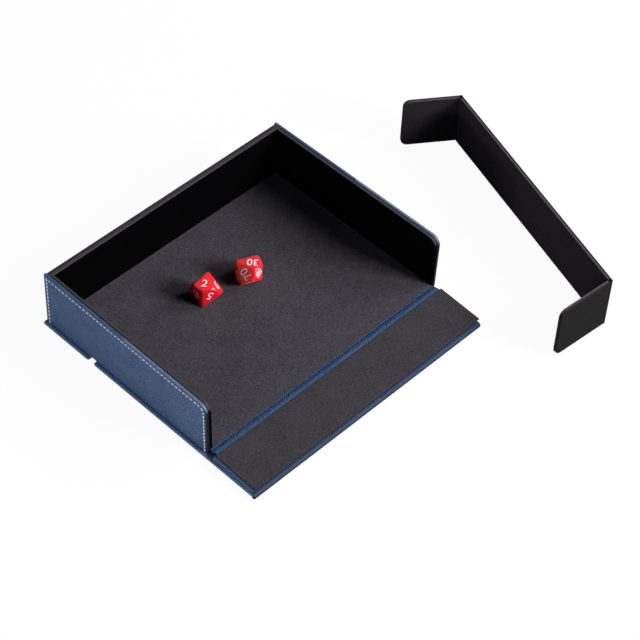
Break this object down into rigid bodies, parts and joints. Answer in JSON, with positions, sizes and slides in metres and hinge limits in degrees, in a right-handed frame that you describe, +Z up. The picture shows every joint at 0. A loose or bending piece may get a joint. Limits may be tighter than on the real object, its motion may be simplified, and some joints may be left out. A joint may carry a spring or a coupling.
{
  "type": "folding dice tray",
  "caption": "Leatherette dice tray with an open front, wrap-around cover hinged at spine and flap, removable folding front wall and ten-sided dice.",
  "frame": {"origin": "on the ground under the middle of the tray, which stands on its folded-back cover", "axes": "+X to the tray's right, +Y from the open front to the back wall, +Z up"},
  "size_m": [0.3187, 0.2447, 0.0456],
  "materials": {
    "blue_leatherette": "fine pebbled navy leatherette",
    "joint_leatherette": "thin flexible navy leatherette, finely creased",
    "microfibre": "short-napped charcoal microfibre",
    "black_wall": "matte black leatherette over board",
    "greyboard": "grey bookbinder's board, hidden",
    "divider_outside": "fine black leatherette",
    "divider_inside": "black microfibre",
    "magnet": "nickel-plated magnet, hidden",
    "keeper_steel": "plated steel plate, hidden",
    "red_die": "polished translucent-looking red resin"
  },
  "bodies": {
    "tray": {"bottom_wrap": "blue_leatherette", "bottom_board": "greyboard", "floor_lining": "microfibre", "left_wall_board": "black_wall", "right_wall_board": "black_wall", "left_side_core": "greyboard", "left_side_wrap": "blue_leatherette", "right_side_core": "greyboard", "right_side_wrap": "blue_leatherette", "back_wall_inner_board": "black_wall", "back_wall_outer_board": "black_wall", "back_wall_keepers": "keeper_steel"},
    "spine": {"spine_wrap": "blue_leatherette", "spine_board": "greyboard", "spine_lining": "microfibre", "spine_hinge_strip": "joint_leatherette"},
    "nose": {"nose_hinge_strip": "joint_leatherette"},
    "cover": {"cover_wrap": "blue_leatherette", "cover_board": "greyboard", "cover_lining": "microfibre"},
    "flap": {"flap_wrap": "blue_leatherette", "flap_board": "greyboard", "flap_lining": "microfibre", "flap_magnets": "magnet", "flap_hinge_strip": "joint_leatherette"},
    "divider": {"divider_middle_board": "divider_outside", "divider_middle_lining": "divider_inside"},
    "divider_left": {"divider_left_board": "divider_outside", "divider_left_lining": "divider_inside", "divider_left_fold": "divider_outside"},
    "divider_right": {"divider_right_board": "divider_outside", "divider_right_lining": "divider_inside", "divider_right_fold": "divider_outside"},
    "die_1": {"first_die": "red_die"},
    "die_2": {"second_die": "red_die"}
  },
  "joints": [
    {"name": "spine_fold", "type": "hinge", "parent": "tray", "child": "spine", "pos_m": [0, -0.07535, 0.0061], "axis": [-1, 0, 0], "range_deg": [0, 93.69], "deforming": ["spine_hinge_strip"]},
    {"name": "nose_fold", "type": "hinge", "parent": "spine", "child": "nose", "pos_m": [0, -0.11442, 0.00328], "axis": [-1, 0, 0], "range_deg": [0, 95.2], "deforming": ["nose_hinge_strip"]},
    {"name": "cover_fold", "type": "hinge", "parent": "nose", "child": "cover", "pos_m": [0, -0.11586, 0.0013], "axis": [-1, 0, 0], "range_deg": [0, 171.13]},
    {"name": "flap_fold", "type": "hinge", "parent": "cover", "child": "flap", "pos_m": [0, 0.03226, 0], "axis": [-1, 0, 0], "range_deg": [0, 90], "deforming": ["flap_hinge_strip"]},
    {"name": "divider_lift", "type": "slide", "parent": "tray", "child": "divider", "axis": [0, 0, -1], "range_m": [-0.06, 0]},
    {"name": "divider_left_turn", "type": "hinge", "parent": "divider", "child": "divider_left", "pos_m": [0.21578, 0.01166, 0], "axis": [0, 0, 1], "range_deg": [-72.1, 17.9], "deforming": ["divider_left_fold"]},
    {"name": "divider_right_turn", "type": "hinge", "parent": "divider", "child": "divider_right", "pos_m": [0.15823, -0.16942, 0], "axis": [0, 0, 1], "range_deg": [-13.1, 76.9], "deforming": ["divider_right_fold"]},
    {"name": "die_1_lift", "type": "slide", "parent": "tray", "child": "die_1", "axis": [0, 0, -1], "range_m": [-0.06, 0]},
    {"name": "die_2_lift", "type": "slide", "parent": "tray", "child": "die_2", "axis": [0, 0, -1], "range_m": [-0.06, 0]}
  ],
  "couplings": [
    {"joint": "nose_fold", "follows": "cover_fold", "ratio": 0.55618}
  ]
}
